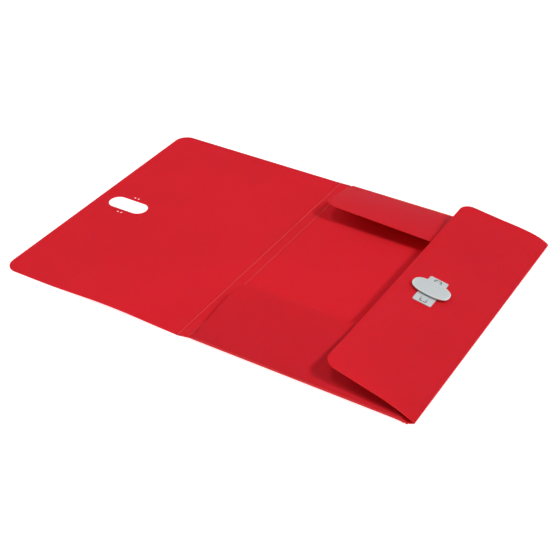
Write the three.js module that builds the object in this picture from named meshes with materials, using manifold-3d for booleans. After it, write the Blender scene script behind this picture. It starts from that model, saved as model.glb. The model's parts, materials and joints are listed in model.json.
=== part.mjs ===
// A three-flap document folder for A4 sheets, lying open with its flaps partly raised.
// It is cut from polypropylene sheet: base, spine, front cover with a slot, closing gusset, closing
// flap and two side flaps, joined at creases. An oval turn button on the closing flap passes through
// the cover's slot and turns a quarter turn to lock the folder.
//
// Millimetres, +Z up. X runs across the open folder from the cover to the closing flap, and Y along
// the spine. Inside this file x = 0 is the crease between base and spine, y = 0 the middle of the
// spine, and z = 0 the underside of the base. The exported group moves the middle of the whole
// footprint to the origin.

import * as THREE from 'three';
import { mergeVertices } from 'three/addons/utils/BufferGeometryUtils.js';
import Module from 'manifold-3d';

const wasm = await Module();
wasm.setup();

// ---- Driving dimensions -------------------------------------------------------------------------

// Sheet and creases. Every fold turns about an axis on the sheet's inner (upper) face.
const SHEET = 0.8;
const EDGE_TO_AXIS = 0.75;
const CREASE_RADIUS = 0.4;

// Panels, measured between fold axes or from a fold axis to the free edge.
const HEIGHT = 320;
const BASE_WIDTH = 230.4;
const SPINE_WIDTH = 11.2;
const COVER_WIDTH = 216.6;
const COVER_CORNER = 15;
const GUSSET_WIDTH = 5.2;
const GUSSET_LENGTH = 316;
const GUSSET_TILT = 26;

// Closing flap: it leaves the outer fold steeply, bends through an arc and ends in a straight part.
const FLAP_DEPTH = 96.6;
const FLAP_ARC_LENGTH = 41;
const FLAP_LEAN_AT_FOLD = 24;
const FLAP_LEAN_OUTER = 10.4;
const FLAP_LENGTH_AT_FOLD = 316;
const FLAP_LENGTH_AT_EDGE = 304;
const FLAP_CORNER = 13;
const ARC_STEPS = 14;

// Side flaps: the same outline on both sides. The sheet bends a little along a line close to the fold,
// so that each flap is a margin, which keeps the angle of its crease, and an outer part.
const SIDE_FOLD_INSET = 0.8;
const SIDE_STACK_GAP = 0.3;
const SIDE_DEPTH = 82;
const SIDE_BEND_DEPTH = 14;
const SIDE_BEND_GAP = 0.7;
const SIDE_START = 4.5;
const SIDE_END = 227;
const SIDE_START_TAPER = 5;
const SIDE_END_TAPER = 42;
const SIDE_CORNER = 14;
const BOTTOM_FLAP_TILT_AT_FOLD = 10.5;
const BOTTOM_FLAP_TILT_OUTER = 10.5;
const TOP_FLAP_TILT_AT_FOLD = 17;
const TOP_FLAP_TILT_OUTER = 12.7;

// Closure, at a distance along the closing flap from its fold.
const CLOSURE_DISTANCE = 63;
const PLATE_WIDTH = 19.9;
const PLATE_LENGTH = 42;
const PLATE_THICKNESS = 0.9;
const PLATE_CORNER = 1.6;
const BUTTON_LENGTH = 39.6;
const BUTTON_WIDTH = 20.6;
const BUTTON_THICKNESS = 1.8;
const BUTTON_BLUNTNESS = 2.6;
const BUTTON_CLEARANCE = 1.8;
const FACE_GAP = 0.3;
const NECK_RADIUS = 6;
const POST_RADIUS = 2.5;
const POST_HOLE_RADIUS = 2.9;
const WASHER_RADIUS = 5;
const WASHER_THICKNESS = 0.9;

// Two hooked grooves near each end of the plate, each with a low pin in its bend.
const PIN_SPACING_X = 3.6;
const PIN_SPACING_Y = 31.7;
const PIN_RADIUS = 0.7;
const PIN_HEIGHT = 0.15;
const GROOVE_OFFSET = 3.4;
const GROOVE_START = 12.7;
const GROOVE_BEND = 17.1;
const GROOVE_BEND_RADIUS = 1.5;
const GROOVE_TAIL = 1.4;
const GROOVE_WIDTH = 0.9;
const GROOVE_DEPTH = 0.45;

// Cover slot, and the four small holes around it.
const SLOT_LENGTH = 48;
const SLOT_WIDTH = 21.6;
const SLOT_FROM_FOLD = 178.2;
const HOLE_SPACING_X = 4.6;
const HOLE_SPACING_Y = 31.8;
const HOLE_RADIUS = 1.2;

const ROUND_STEPS = 12;
const CUT_DEPTH = 40;

// ---- Materials ----------------------------------------------------------------------------------

const sheetColour = { color: 0xd4252f, roughness: 0.5, metalness: 0 };
const creaseColour = { color: 0xdc4040, roughness: 0.55, metalness: 0 };
const closureColour = { color: 0xc8ced0, roughness: 0.4, metalness: 0 };

// ---- Geometry helpers ---------------------------------------------------------------------------

const radians = THREE.MathUtils.degToRad;

/** A named mesh with a material of its own. */
function piece(name, geometry, finish) {
  const mesh = new THREE.Mesh(geometry, new THREE.MeshStandardMaterial(finish));
  mesh.name = name;
  return mesh;
}

/** Closed outline through anticlockwise corners [x, y, radius]; a corner with a radius is an arc. */
function outline(corners) {
  const shape = new THREE.Shape();
  corners.forEach(([x, y, radius = 0], i) => {
    const corner = new THREE.Vector2(x, y);
    const previous = new THREE.Vector2(...corners.at(i - 1).slice(0, 2)).sub(corner).normalize();
    const next = new THREE.Vector2(...corners[(i + 1) % corners.length].slice(0, 2)).sub(corner).normalize();
    const half = Math.acos(previous.dot(next)) / 2;
    const start = previous.clone().multiplyScalar(radius / Math.tan(half)).add(corner);
    if (i === 0) {
      shape.moveTo(start.x, start.y);
    } else {
      shape.lineTo(start.x, start.y);
    }
    if (radius > 0) {
      const centre = previous.add(next).normalize().multiplyScalar(radius / Math.sin(half)).add(corner);
      const from = Math.atan2(start.y - centre.y, start.x - centre.x);
      shape.absarc(centre.x, centre.y, radius, from, from + Math.PI - 2 * half, false);
    }
  });
  shape.closePath();
  return shape;
}

/** Rectangle between two corners, with one radius at all four. */
function rectangle(x0, y0, x1, y1, radius = 0) {
  return outline([[x0, y0, radius], [x1, y0, radius], [x1, y1, radius], [x0, y1, radius]]);
}

/** Obround hole or outline of a full length and width, long way along X. */
function obround(Kind, x, y, length, width) {
  const radius = width / 2;
  const reach = length / 2 - radius;
  const path = new Kind();
  path.moveTo(x - reach, y - radius);
  path.lineTo(x + reach, y - radius);
  path.absarc(x + reach, y, radius, -Math.PI / 2, Math.PI / 2, false);
  path.lineTo(x - reach, y + radius);
  path.absarc(x - reach, y, radius, Math.PI / 2, Math.PI * 1.5, false);
  return path;
}

/** Round hole. */
function roundHole(x, y, radius) {
  const path = new THREE.Path();
  path.absarc(x, y, radius, 0, Math.PI * 2, false);
  return path;
}

/** Flat plate of a shape, from z = bottom up by a thickness. */
function plate(shape, thickness, bottom = 0) {
  const settings = { depth: thickness, bevelEnabled: false, curveSegments: ROUND_STEPS };
  const geometry = new THREE.ExtrudeGeometry(shape, settings);
  geometry.translate(0, 0, bottom);
  return geometry;
}

/** Upright cylinder between two heights. */
function post(radius, bottom, top, x = 0, y = 0) {
  const geometry = new THREE.CylinderGeometry(radius, radius, top - bottom, 2 * ROUND_STEPS);
  geometry.rotateX(Math.PI / 2);
  geometry.translate(x, y, (top + bottom) / 2);
  return geometry;
}

/** Thinned strip of sheet left along a fold, on a line from one end to the other. */
function crease(from, to) {
  const start = new THREE.Vector3(...from);
  const end = new THREE.Vector3(...to);
  const geometry = new THREE.CylinderGeometry(CREASE_RADIUS, CREASE_RADIUS, start.distanceTo(end), 8);
  const along = end.clone().sub(start).normalize();
  geometry.applyQuaternion(new THREE.Quaternion().setFromUnitVectors(new THREE.Vector3(0, 1, 0), along));
  const middle = start.add(end).multiplyScalar(0.5);
  geometry.translate(middle.x, middle.y, middle.z);
  return geometry;
}

/** Manifold solid of a closed geometry. */
function solid(geometry) {
  const bare = geometry.clone();
  bare.deleteAttribute('normal');
  bare.deleteAttribute('uv');
  const merged = mergeVertices(bare, 1e-4);
  const vertProperties = new Float32Array(merged.attributes.position.array);
  const triVerts = new Uint32Array(merged.index.array);
  return new wasm.Manifold(new wasm.Mesh({ numProp: 3, vertProperties, triVerts }));
}

/** Geometry of a manifold solid. */
function surface(manifold) {
  const mesh = manifold.getMesh();
  const geometry = new THREE.BufferGeometry();
  geometry.setAttribute('position', new THREE.BufferAttribute(mesh.vertProperties, 3));
  geometry.setIndex(new THREE.BufferAttribute(mesh.triVerts, 1));
  geometry.computeVertexNormals();
  return geometry;
}

// ---- Flat panels --------------------------------------------------------------------------------

const halfHeight = HEIGHT / 2;
const sideFoldY = halfHeight - SIDE_FOLD_INSET;
const foldHeight = SHEET;
const sideFoldHeight = SHEET + SIDE_STACK_GAP / 2;

/** Base panel, set back along the two side folds so that the creases fit. */
function basePanel() {
  const left = EDGE_TO_AXIS;
  const right = BASE_WIDTH - EDGE_TO_AXIS;
  const end = halfHeight - SIDE_FOLD_INSET / 2;
  const setBack = sideFoldY - EDGE_TO_AXIS;
  const notchStart = SIDE_START - EDGE_TO_AXIS;
  const notchEnd = SIDE_END + EDGE_TO_AXIS;
  return plate(outline([
    [left, -end], [notchStart, -end], [notchStart, -setBack], [notchEnd, -setBack], [notchEnd, -end],
    [right, -end], [right, end], [notchEnd, end], [notchEnd, setBack], [notchStart, setBack],
    [notchStart, end], [left, end],
  ]), SHEET);
}

/** Spine panel. */
function spinePanel() {
  const shape = rectangle(EDGE_TO_AXIS - SPINE_WIDTH, -halfHeight, -EDGE_TO_AXIS, halfHeight);
  return plate(shape, SHEET);
}

/** Front cover with the slot for the button and the four peg holes around it. */
function frontCover(slotX) {
  const foldSide = -SPINE_WIDTH - EDGE_TO_AXIS;
  const freeEdge = -SPINE_WIDTH - COVER_WIDTH;
  const shape = outline([
    [freeEdge, -halfHeight, COVER_CORNER], [foldSide, -halfHeight],
    [foldSide, halfHeight], [freeEdge, halfHeight, COVER_CORNER],
  ]);
  shape.holes.push(obround(THREE.Path, slotX, 0, SLOT_LENGTH, SLOT_WIDTH));
  for (const x of [-HOLE_SPACING_X / 2, HOLE_SPACING_X / 2]) {
    for (const y of [-HOLE_SPACING_Y / 2, HOLE_SPACING_Y / 2]) {
      shape.holes.push(roundHole(slotX + x, y, HOLE_RADIUS));
    }
  }
  return plate(shape, SHEET);
}

// ---- Closing gusset and closing flap ------------------------------------------------------------

/** Gusset strip in its own frame: the base fold on the origin, its inner face at z = 0. */
function closingGusset() {
  const end = GUSSET_LENGTH / 2;
  const shape = rectangle(EDGE_TO_AXIS, -end, GUSSET_WIDTH - EDGE_TO_AXIS, end);
  return plate(shape, SHEET, -SHEET);
}

/** Point of the closing flap's section, from its fold axis: distance along it, height off its inner face. */
function flapPoint(distance, height) {
  const radius = FLAP_ARC_LENGTH / radians(FLAP_LEAN_AT_FOLD - FLAP_LEAN_OUTER);
  const onArc = Math.min(distance, FLAP_ARC_LENGTH);
  const lean0 = radians(FLAP_LEAN_AT_FOLD);
  const lean = lean0 - onArc / radius;
  const straight = distance - onArc;
  const across = radius * (Math.sin(lean0) - Math.sin(lean)) + straight * Math.cos(lean);
  const up = radius * (Math.cos(lean) - Math.cos(lean0)) + straight * Math.sin(lean);
  return new THREE.Vector2(-across + height * Math.sin(lean), up + height * Math.cos(lean));
}

/** Closing flap around its fold axis: the bent section, cut to its rounded outline, with the post hole. */
function closingFlap(closureMatrix) {
  const distances = [];
  for (let i = 0; i <= ARC_STEPS; i += 1) {
    distances.push(EDGE_TO_AXIS + (i / ARC_STEPS) * (FLAP_ARC_LENGTH - EDGE_TO_AXIS));
  }
  distances.push(FLAP_DEPTH);
  const inner = distances.map((distance) => flapPoint(distance, 0));
  const outer = distances.map((distance) => flapPoint(distance, SHEET)).reverse();
  const section = plate(new THREE.Shape([...inner, ...outer]), HEIGHT);
  section.rotateX(Math.PI / 2);
  section.translate(0, halfHeight, 0);

  const edgeX = flapPoint(FLAP_DEPTH, SHEET).x;
  const foldEnd = FLAP_LENGTH_AT_FOLD / 2;
  const edgeEnd = FLAP_LENGTH_AT_EDGE / 2;
  const plan = plate(outline([
    [edgeX, -edgeEnd, FLAP_CORNER], [0, -foldEnd], [0, foldEnd], [edgeX, edgeEnd, FLAP_CORNER],
  ]), 2 * CUT_DEPTH, -CUT_DEPTH);
  const hole = post(POST_HOLE_RADIUS, -CUT_DEPTH, CUT_DEPTH);
  hole.applyMatrix4(closureMatrix);
  return surface(solid(section).intersect(solid(plan)).subtract(solid(hole)));
}

// ---- Side flaps ---------------------------------------------------------------------------------

/** Ends of a side flap, along X, at a depth from its fold. */
function sideFlapEnds(depth) {
  return [
    SIDE_START + depth * Math.tan(radians(SIDE_START_TAPER)),
    SIDE_END - depth * Math.tan(radians(SIDE_END_TAPER)),
  ];
}

/** Part of a side flap between two depths, flat over the base; side is +1 below the middle and -1 above. */
function sideFlapPart(side, nearDepth, farDepth, cornerRadius) {
  const [nearStart, nearEnd] = sideFlapEnds(nearDepth);
  const [farStart, farEnd] = sideFlapEnds(farDepth);
  const corners = [
    [nearStart, side * nearDepth],
    [nearEnd, side * nearDepth],
    [farEnd, side * farDepth, cornerRadius],
    [farStart, side * farDepth, cornerRadius],
  ];
  if (side < 0) {
    corners.reverse();
  }
  return plate(outline(corners), SHEET, SIDE_STACK_GAP / 2);
}

/** Side flap about its fold: the margin, and the outer part about the bend line in mid-thickness. */
function sideFlap(name, side, tiltAtFold, tiltOuter) {
  const bendHeight = (SIDE_STACK_GAP + SHEET) / 2;
  const margin = sideFlapPart(side, EDGE_TO_AXIS, SIDE_BEND_DEPTH - SIDE_BEND_GAP / 2, 0);
  const outer = sideFlapPart(side, SIDE_BEND_DEPTH + SIDE_BEND_GAP / 2, SIDE_DEPTH, SIDE_CORNER);
  outer.translate(0, -side * SIDE_BEND_DEPTH, -bendHeight);
  const bend = new THREE.Group();
  bend.position.set(0, side * SIDE_BEND_DEPTH, bendHeight);
  bend.rotation.x = side * radians(tiltOuter - tiltAtFold);
  bend.add(piece(`${name}_flap`, outer, sheetColour));
  const hinge = new THREE.Group();
  hinge.position.set(0, -side * sideFoldY, sideFoldHeight);
  hinge.rotation.x = side * radians(tiltAtFold);
  hinge.add(piece(`${name}_flap_margin`, margin, sheetColour));
  hinge.add(piece(`${name}_flap_crease`, crease([SIDE_START, 0, 0], [SIDE_END, 0, 0]), creaseColour));
  hinge.add(bend);
  return hinge;
}

// ---- Closure ------------------------------------------------------------------------------------
// Its frame has the flap's outer face at z = 0, +Z out of the flap, and X across it.

const plateTop = FACE_GAP + PLATE_THICKNESS;
const buttonBottom = plateTop + BUTTON_CLEARANCE;
const backTop = -SHEET - FACE_GAP;
const backBottom = backTop - PLATE_THICKNESS;
const washerTop = backBottom - FACE_GAP;
const washerBottom = washerTop - WASHER_THICKNESS;

/** Outline of a hooked groove: a straight stroke that bends in through a quarter turn. */
function hookedGroove(signX, signY) {
  const bendX = GROOVE_OFFSET - GROOVE_BEND_RADIUS;
  const outer = GROOVE_BEND_RADIUS + GROOVE_WIDTH / 2;
  const inner = GROOVE_BEND_RADIUS - GROOVE_WIDTH / 2;
  const points = [[bendX + outer, GROOVE_START]];
  for (let i = 0; i <= ROUND_STEPS; i += 1) {
    const angle = (i / ROUND_STEPS) * (Math.PI / 2);
    points.push([bendX + outer * Math.cos(angle), GROOVE_BEND + outer * Math.sin(angle)]);
  }
  points.push([bendX - GROOVE_TAIL, GROOVE_BEND + outer], [bendX - GROOVE_TAIL, GROOVE_BEND + inner]);
  for (let i = ROUND_STEPS; i >= 0; i -= 1) {
    const angle = (i / ROUND_STEPS) * (Math.PI / 2);
    points.push([bendX + inner * Math.cos(angle), GROOVE_BEND + inner * Math.sin(angle)]);
  }
  points.push([bendX + inner, GROOVE_START]);
  return new THREE.Shape(points.map(([x, y]) => new THREE.Vector2(x * signX, y * signY)));
}

/** Front plate with its four hooked grooves and low pins. */
function closurePlate() {
  const x = PLATE_WIDTH / 2;
  const y = PLATE_LENGTH / 2;
  let body = solid(plate(rectangle(-x, -y, x, y, PLATE_CORNER), PLATE_THICKNESS, FACE_GAP));
  body = body.subtract(solid(post(POST_HOLE_RADIUS, -CUT_DEPTH, CUT_DEPTH)));
  for (const signX of [-1, 1]) {
    for (const signY of [-1, 1]) {
      const groove = plate(hookedGroove(signX, signY), CUT_DEPTH, plateTop - GROOVE_DEPTH);
      const pinX = signX * PIN_SPACING_X / 2;
      const pinY = signY * PIN_SPACING_Y / 2;
      const pin = post(PIN_RADIUS, plateTop - GROOVE_DEPTH, plateTop + PIN_HEIGHT, pinX, pinY);
      body = body.subtract(solid(groove)).add(solid(pin));
    }
  }
  return surface(body);
}

/** Back plate, inside the folder behind the front plate. */
function backPlate() {
  const x = PLATE_WIDTH / 2;
  const y = PLATE_LENGTH / 2;
  const shape = rectangle(-x, -y, x, y, PLATE_CORNER);
  shape.holes.push(roundHole(0, 0, POST_HOLE_RADIUS));
  return plate(shape, PLATE_THICKNESS, backBottom);
}

/** Oval button in one piece with its neck, its post and the snap head under the washer. */
function turnButton() {
  const points = [];
  const steps = 4 * ROUND_STEPS;
  for (let i = 0; i < steps; i += 1) {
    const angle = (i / steps) * 2 * Math.PI;
    const along = Math.abs(Math.cos(angle)) ** (2 / BUTTON_BLUNTNESS) * Math.sign(Math.cos(angle));
    const across = Math.abs(Math.sin(angle)) ** (2 / BUTTON_BLUNTNESS) * Math.sign(Math.sin(angle));
    points.push(new THREE.Vector2(along * BUTTON_LENGTH / 2, across * BUTTON_WIDTH / 2));
  }
  const cap = plate(new THREE.Shape(points), BUTTON_THICKNESS, buttonBottom);
  const headTop = washerBottom - FACE_GAP;
  const profile = [
    [0, headTop - 1],
    [POST_RADIUS - 0.6, headTop - 1],
    [POST_RADIUS + 0.7, headTop - 0.1],
    [POST_RADIUS + 0.7, headTop],
    [POST_RADIUS, headTop],
    [POST_RADIUS, plateTop + FACE_GAP],
    [NECK_RADIUS, plateTop + FACE_GAP],
    [NECK_RADIUS, buttonBottom + BUTTON_THICKNESS / 2],
    [0, buttonBottom + BUTTON_THICKNESS / 2],
  ].map(([radius, z]) => new THREE.Vector2(radius, z));
  const shaft = new THREE.LatheGeometry(profile, 2 * ROUND_STEPS);
  shaft.rotateX(Math.PI / 2);
  return surface(solid(cap).add(solid(shaft)));
}

/** Washer that the post snaps through, behind the back plate. */
function retainingWasher() {
  const shape = new THREE.Shape();
  shape.absarc(0, 0, WASHER_RADIUS, 0, Math.PI * 2, false);
  shape.holes.push(roundHole(0, 0, POST_HOLE_RADIUS));
  return plate(shape, WASHER_THICKNESS, washerBottom);
}

// ---- Assembly -----------------------------------------------------------------------------------

const folder = new THREE.Group();

// Closing gusset, turned up about the base fold, and the closing flap about the gusset's outer edge.
const gusset = new THREE.Group();
gusset.position.set(BASE_WIDTH, 0, foldHeight);
gusset.rotation.y = -radians(GUSSET_TILT);
gusset.add(piece('closing_gusset', closingGusset(), sheetColour));

const outerFold = new THREE.Vector3(
  BASE_WIDTH + GUSSET_WIDTH * Math.cos(radians(GUSSET_TILT)),
  0,
  foldHeight + GUSSET_WIDTH * Math.sin(radians(GUSSET_TILT)),
);
const closure = new THREE.Group();
const closureOnFlap = flapPoint(CLOSURE_DISTANCE, SHEET);
closure.position.set(closureOnFlap.x, 0, closureOnFlap.y);
closure.rotation.y = radians(FLAP_LEAN_OUTER);
closure.updateMatrix();
closure.add(piece('closure_plate', closurePlate(), closureColour));
closure.add(piece('back_plate', backPlate(), closureColour));
closure.add(piece('turn_button', turnButton(), closureColour));
closure.add(piece('retaining_washer', retainingWasher(), closureColour));

const flap = new THREE.Group();
flap.position.copy(outerFold);
flap.add(piece('closing_flap', closingFlap(closure.matrix), sheetColour));
flap.add(closure);

// Side flaps, raised about folds just above the base so that they also lie flat on it.
folder.add(sideFlap('bottom', 1, BOTTOM_FLAP_TILT_AT_FOLD, BOTTOM_FLAP_TILT_OUTER));
folder.add(sideFlap('top', -1, TOP_FLAP_TILT_AT_FOLD, TOP_FLAP_TILT_OUTER));

folder.add(piece('base_panel', basePanel(), sheetColour));
folder.add(piece('spine_panel', spinePanel(), sheetColour));
folder.add(piece('front_cover', frontCover(-SPINE_WIDTH - SLOT_FROM_FOLD), sheetColour));
folder.add(gusset);
folder.add(flap);
const gussetEnd = GUSSET_LENGTH / 2;
for (const [name, x, z, end] of [
  ['base_spine_crease', 0, foldHeight, halfHeight],
  ['spine_cover_crease', -SPINE_WIDTH, foldHeight, halfHeight],
  ['base_gusset_crease', BASE_WIDTH, foldHeight, gussetEnd],
  ['gusset_flap_crease', outerFold.x, outerFold.z, gussetEnd],
]) {
  folder.add(piece(name, crease([x, -end, z], [x, end, z]), creaseColour));
}

// The middle of the footprint goes to the origin.
folder.updateMatrixWorld(true);
const middle = new THREE.Box3().setFromObject(folder, true).getCenter(new THREE.Vector3());
folder.position.set(-middle.x, -middle.y, 0);

export default folder;
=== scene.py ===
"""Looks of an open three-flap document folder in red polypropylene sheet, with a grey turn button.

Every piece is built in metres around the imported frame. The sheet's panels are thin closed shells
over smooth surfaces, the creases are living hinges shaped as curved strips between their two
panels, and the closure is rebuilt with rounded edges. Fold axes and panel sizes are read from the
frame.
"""
import json
import math

import bmesh
import bpy
from mathutils import Matrix, Vector
from mathutils.geometry import delaunay_2d_cdt


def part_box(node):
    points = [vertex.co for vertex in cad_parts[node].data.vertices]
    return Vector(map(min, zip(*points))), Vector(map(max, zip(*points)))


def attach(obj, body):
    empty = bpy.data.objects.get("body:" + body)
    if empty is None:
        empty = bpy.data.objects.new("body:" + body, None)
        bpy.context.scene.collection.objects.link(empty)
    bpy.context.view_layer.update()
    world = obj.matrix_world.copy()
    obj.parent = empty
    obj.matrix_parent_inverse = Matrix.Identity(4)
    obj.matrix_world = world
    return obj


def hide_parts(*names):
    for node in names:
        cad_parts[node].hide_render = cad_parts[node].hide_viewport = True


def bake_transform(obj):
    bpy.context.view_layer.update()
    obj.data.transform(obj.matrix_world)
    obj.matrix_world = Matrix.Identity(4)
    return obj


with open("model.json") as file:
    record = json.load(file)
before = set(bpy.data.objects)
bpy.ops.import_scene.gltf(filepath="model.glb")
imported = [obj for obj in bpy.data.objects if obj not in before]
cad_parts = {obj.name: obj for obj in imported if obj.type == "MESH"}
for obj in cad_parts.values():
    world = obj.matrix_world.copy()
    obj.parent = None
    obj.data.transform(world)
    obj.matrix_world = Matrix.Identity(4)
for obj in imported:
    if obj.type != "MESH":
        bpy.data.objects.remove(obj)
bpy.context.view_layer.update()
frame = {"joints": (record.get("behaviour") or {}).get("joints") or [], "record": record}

MM = 0.001

# ---- Places from the frame ----------------------------------------------------------------------

joints = {joint["name"]: joint for joint in frame["joints"]}


def axis_point(joint):
    """Point on a joint's axis."""
    return Vector(joints[joint]["pos_m"])


SPINE_AXIS = axis_point("spine_fold")
COVER_AXIS = axis_point("cover_fold")
GUSSET_AXIS = axis_point("gusset_fold")
CLOSING_AXIS = axis_point("closing_flap_fold")
BUTTON_CENTRE = axis_point("button_turn")
BUTTON_AXIS = Vector(joints["button_turn"]["axis"])
SIDE_AXES = {"bottom": axis_point("bottom_flap_fold"), "top": axis_point("top_flap_fold")}

cover_low, cover_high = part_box("front_cover")
base_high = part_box("base_panel")[1]
side_low, side_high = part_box("bottom_flap_crease")

SHEET = cover_high.z - cover_low.z
HALF_HEIGHT = cover_high.y
EDGE_TO_AXIS = 0.75 * MM
SIDE_FOLD_Y = abs(SIDE_AXES["bottom"].y)

# ---- Driving dimensions of the looks ------------------------------------------------------------

GRID = 5 * MM
NARROW_GRID = 3 * MM
GUSSET_GRID = 2.5 * MM
# Share of the grid that its points stay away from an outline.
GRID_CLEARANCE = 0.55
MERGE_DISTANCE = 2e-6
ARC_STEP = 0.7 * MM
EDGE_ROUND = 0.22 * MM
# Painted highlight: share of a paler colour painted along the rounded edges of every sheet and
# plate.
RIM_PAINTED_HIGHLIGHT = 0.5
EDGE_STEPS = 3
SMOOTH_ANGLE = 50
TINY = 1e-6
COVER_CORNER = 15 * MM
SLOT_LENGTH = 48 * MM
SLOT_WIDTH = 21.6 * MM
HOLE_SPACING_X = 4.6 * MM
HOLE_SPACING_Y = 31.8 * MM
HOLE_RADIUS = 1.2 * MM

# The sheet doesn't lie quite flat: the cover bulges along its near edge, and the creased side flaps
# lift the base along both of its short sides.
COVER_BULGE = 2.7 * MM
COVER_BULGE_CENTRE = cover_low.x + 136 * MM
COVER_BULGE_REACH = 88 * MM
COVER_BULGE_DEPTH = 85 * MM
LIFT_DEPTH = 42 * MM
LIFT_RUN_OUT = 12 * MM
BASE_LIFTS = {"bottom": (1.9 * MM, 1.3 * MM), "top": (0.4 * MM, 0.0)}

# Closing flap: an arc from its fold, then straight.
GUSSET_TILT = math.radians(26)
GUSSET_LENGTH = 316 * MM
FLAP_DEPTH = 96.6 * MM
FLAP_ARC_LENGTH = 41 * MM
FLAP_LEAN_AT_FOLD = math.radians(24)
FLAP_LEAN_OUTER = math.radians(10.4)
FLAP_HALF_AT_FOLD = 158 * MM
FLAP_HALF_AT_EDGE = 152 * MM
FLAP_CORNER = 13 * MM
# The flap's free corners curl up a little, the near one more than the far one.
FLAP_CURLS = {"near": 2.4 * MM, "far": 1.4 * MM}
FLAP_CURL_GROWTH = 1.5
# Its far end bends more steeply next to the fold: height of that hump, where it is highest along
# the depth, and where it starts along Y.
FLAP_HUMP = 1.8 * MM
FLAP_HUMP_AT = 13 * MM
FLAP_HUMP_START = 40 * MM

# Side flaps: slope at the fold, loss of slope along the depth, and lift of the spine end's corner.
SIDE_DEPTH = 82 * MM
SIDE_SEAM = 8 * MM
SIDE_BEND_END = 22 * MM
# Spine end of each side flap: its X over the spine fold at depth 0, and its lean per depth.
SIDE_STARTS = {"bottom": (3.6 * MM, 0.062), "top": (4.2 * MM, 0.10)}
SIDE_END_TAPER = math.tan(math.radians(42))
SIDE_CORNER = 14 * MM
SIDE_SHAPES = {
    "bottom": {"slope": 0.165, "bow": -0.0002, "twist": 0.9 * MM, "reach": 110 * MM},
    "top": {"slope": 0.337, "bow": 0.00143, "twist": 5.5 * MM, "reach": 130 * MM},
}

# Closure.
PLATE_WIDTH = 19.9 * MM
PLATE_LENGTH = 42 * MM
PLATE_THICKNESS = 0.9 * MM
PLATE_CORNER = 1.6 * MM
PLATE_GRID = 2 * MM
PLATE_EDGE_ROUND = 0.25 * MM
FACE_GAP = 0.3 * MM
PLATE_GAP = 0.05 * MM
PIN_SPACING_X = 3.6 * MM
PIN_SPACING_Y = 31.7 * MM
PIN_RADIUS = 0.7 * MM
PIN_HEIGHT = 0.15 * MM
PIN_BEVEL = 0.12 * MM
PIN_STRAIGHT = 0.05 * MM
GROOVE_OFFSET = 3.4 * MM
GROOVE_START = 12.7 * MM
GROOVE_BEND = 17.1 * MM
GROOVE_BEND_RADIUS = 1.5 * MM
GROOVE_TAIL = 1.4 * MM
GROOVE_WIDTH = 1.1 * MM
GROOVE_DEPTH = 0.6 * MM
# Share of the painted shade on the pin tops.
PIN_SHADE = 0.35
BUTTON_LENGTH = 39.6 * MM
BUTTON_WIDTH = 20.6 * MM
BUTTON_THICKNESS = 1.8 * MM
BUTTON_BLUNTNESS = 2.6
BUTTON_CLEARANCE = 2.05 * MM
# Insets and heights of the rounded lower edge of the cap, its upper edge's radius, and its crown.
BUTTON_UNDER_EDGE = ((0.5 * MM, 0.0), (0.15 * MM, 0.12 * MM), (0.0, 0.4 * MM))
BUTTON_EDGE = 0.55 * MM
BUTTON_EDGE_STEPS = 6
BUTTON_DOME = 0.1 * MM
BUTTON_DOME_STEPS = 12
# Where the painted highlight along the cap's rim starts, as a share of the way out, and how fast it
# grows.
RIM_SHINE_START = 0.86
RIM_SHINE_RAMP = 0.12
NECK_RADIUS = 6 * MM
POST_RADIUS = 2.5 * MM
HEAD_RADIUS = 3.2 * MM
HEAD_TIP_RADIUS = 1.9 * MM
HEAD_HEIGHT = 1 * MM
HEAD_RIM = 0.1 * MM
POST_HOLE_RADIUS = 2.9 * MM
WASHER_RADIUS = 5 * MM
WASHER_THICKNESS = 0.9 * MM
WASHER_GRID = 1.2 * MM
WASHER_EDGE_ROUND = 0.2 * MM

# ---- Outlines -----------------------------------------------------------------------------------


def outline(corners, step=GRID):
    """Points along a closed outline through anticlockwise corners (u, v, radius)."""
    points = []
    count = len(corners)
    for i, (u, v, radius) in enumerate(corners):
        corner = Vector((u, v))
        before = (Vector(corners[i - 1][:2]) - corner).normalized()
        after = (Vector(corners[(i + 1) % count][:2]) - corner).normalized()
        if radius <= 0:
            points.append(corner)
            continue
        half = math.acos(max(-1.0, min(1.0, before.dot(after)))) / 2
        centre = corner + (before + after).normalized() * (radius / math.sin(half))
        start = corner + before * (radius / math.tan(half)) - centre
        turn = math.pi - 2 * half
        steps = max(4, math.ceil(turn * radius / ARC_STEP))
        for k in range(steps + 1):
            points.append(centre + Matrix.Rotation(turn * k / steps, 2) @ start)
    return subdivided(points, step)


def subdivided(points, step):
    """Closed outline with its long stretches cut to at most step."""
    result = []
    for i, point in enumerate(points):
        following = points[(i + 1) % len(points)]
        pieces = max(1, math.ceil((following - point).length / step))
        for k in range(pieces):
            result.append(point.lerp(following, k / pieces))
    return result


def rectangle(low_u, high_u, low_v, high_v, radius=0):
    """Anticlockwise corners of a rectangle."""
    corners = ((low_u, low_v), (high_u, low_v), (high_u, high_v), (low_u, high_v))
    return [(u, v, radius) for u, v in corners]


def obround(u, v, length, width):
    """Obround outline, long way along u."""
    radius = width / 2
    reach = length / 2
    signs = ((-1, -1), (1, -1), (1, 1), (-1, 1))
    nearly_round = radius * 0.999
    return outline([(u + a * reach, v + b * radius, nearly_round) for a, b in signs], 3 * MM)


def circle(u, v, radius, steps=24):
    """Round outline."""
    angles = [2 * math.pi * k / steps for k in range(steps)]
    return [Vector((u + radius * math.cos(a), v + radius * math.sin(a))) for a in angles]


def superellipse(length, width, bluntness, steps=160):
    """Superellipse outline around the origin, long way along u, with evenly turned points."""
    points = []
    for k in range(steps):
        c = math.cos(2 * math.pi * k / steps)
        s = math.sin(2 * math.pi * k / steps)
        u = math.copysign(abs(c) ** (2 / bluntness), c) * length / 2
        v = math.copysign(abs(s) ** (2 / bluntness), s) * width / 2
        points.append(Vector((u, v)))
    return points


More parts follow.
